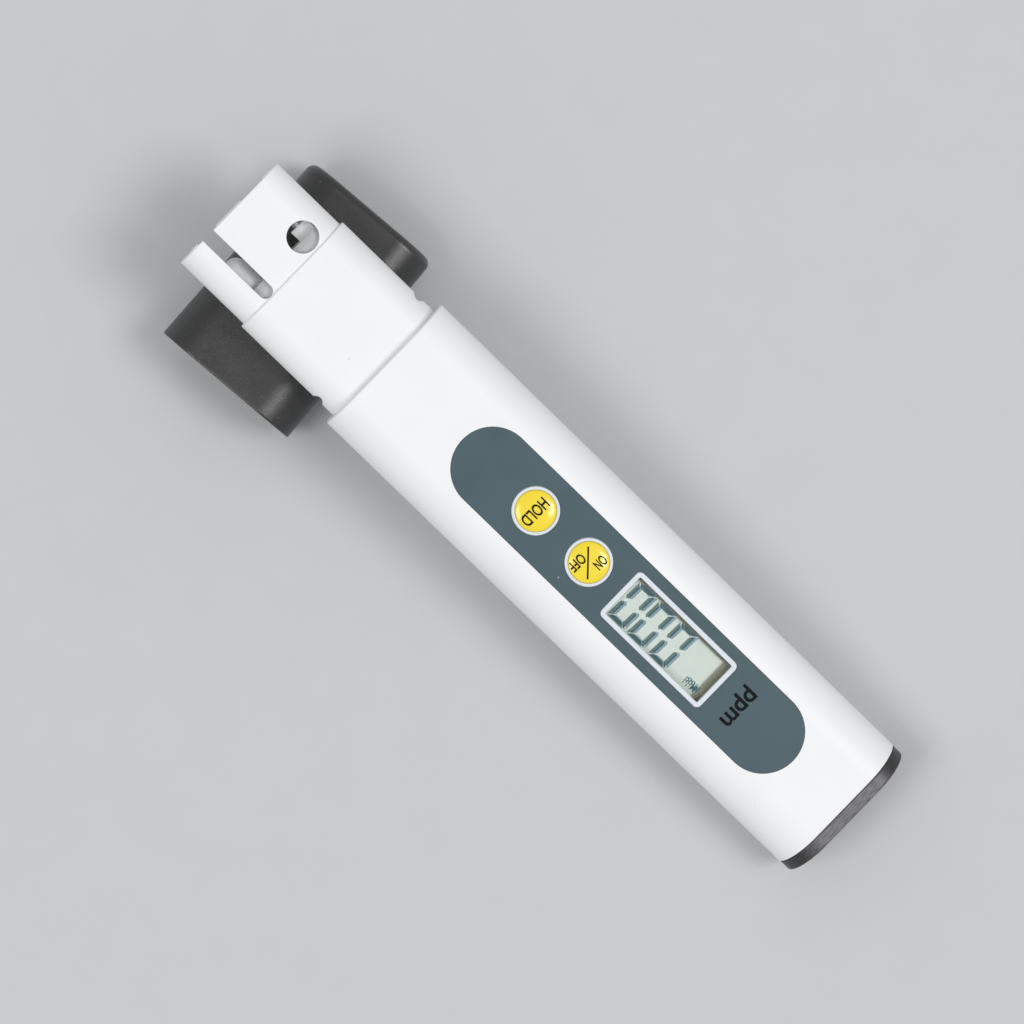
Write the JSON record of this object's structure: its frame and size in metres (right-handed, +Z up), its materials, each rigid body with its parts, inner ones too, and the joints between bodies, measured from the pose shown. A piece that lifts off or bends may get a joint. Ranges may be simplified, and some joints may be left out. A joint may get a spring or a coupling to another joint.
{
  "type": "total dissolved solids meter",
  "caption": "Pen-shaped water tester with a slotted probe end, display, push buttons and battery drawer, leaning on its removed black cap.",
  "frame": {"origin": "on the floor, under the middle of the whole set's box", "axes": "+X along the meter towards its battery end, +Y across it towards the closed end of the cap, +Z up out of the display"},
  "size_m": [0.1518, 0.0418, 0.0286],
  "materials": {
    "case_white": "satin moulded white",
    "label_slate": "slate grey printed film, smooth satin",
    "button_yellow": "glossy yellow",
    "cap_black": "black, finely speckled satin",
    "window_clear": "clear",
    "display_grey": "pale grey-green glass",
    "electrode_metal": "polished",
    "cell_steel": "bright steel",
    "spring_brass": "nickel brass strip",
    "board_green": "green solder mask",
    "resin_black": "potting resin and switch housings",
    "trimmer_blue": "blue moulded",
    "rubber_grey": "soft",
    "bead_glass": "glass bead with tinned leads"
  },
  "bodies": {
    "meter": {"body_shell": "case_white", "probe_head": "case_white", "probe_core": "case_white", "probe_seal": "rubber_grey", "electrode_pins": "electrode_metal", "thermistor": "bead_glass", "keypad_label": "label_slate", "display_window": "window_clear", "display_glass": "display_grey", "display_holder": "case_white", "contact_strip": "rubber_grey", "circuit_board": "board_green", "controller_chip": "resin_black", "calibration_trimmer": "trimmer_blue", "hold_switch_housing": "resin_black", "power_switch_housing": "resin_black", "battery_contacts": "spring_brass"},
    "cap": {"protective_cap": "cap_black"},
    "hold_key": {"hold_button": "button_yellow", "hold_switch_plunger": "resin_black"},
    "power_key": {"power_button": "button_yellow", "power_switch_plunger": "resin_black"},
    "battery_drawer": {"battery_cap": "cap_black", "battery_tray": "cap_black", "button_cells": "cell_steel", "cell_link": "spring_brass"},
    "trim_screw": {"calibration_screw": "cell_steel"}
  },
  "joints": [
    {"name": "cap_slide", "type": "slide", "parent": "meter", "child": "cap", "axis": [0.068, -0.9977, 0], "range_m": [0, 0.045]},
    {"name": "hold_press", "type": "slide", "parent": "meter", "child": "hold_key", "axis": [-0.1064, 0, -0.9943], "range_m": [0, 0.0004], "stiffness_N_per_m": 3000},
    {"name": "power_press", "type": "slide", "parent": "meter", "child": "power_key", "axis": [-0.1064, 0, -0.9943], "range_m": [0, 0.0004], "stiffness_N_per_m": 3000},
    {"name": "battery_slide", "type": "slide", "parent": "meter", "child": "battery_drawer", "axis": [0.9943, 0, -0.1064], "range_m": [0, 0.03]},
    {"name": "trim_turn", "type": "hinge", "parent": "meter", "child": "trim_screw", "pos_m": [-0.01045, 0.00226, 0.01288], "axis": [-0.1064, 0, -0.9943], "range_deg": [-135, 135]}
  ]
}
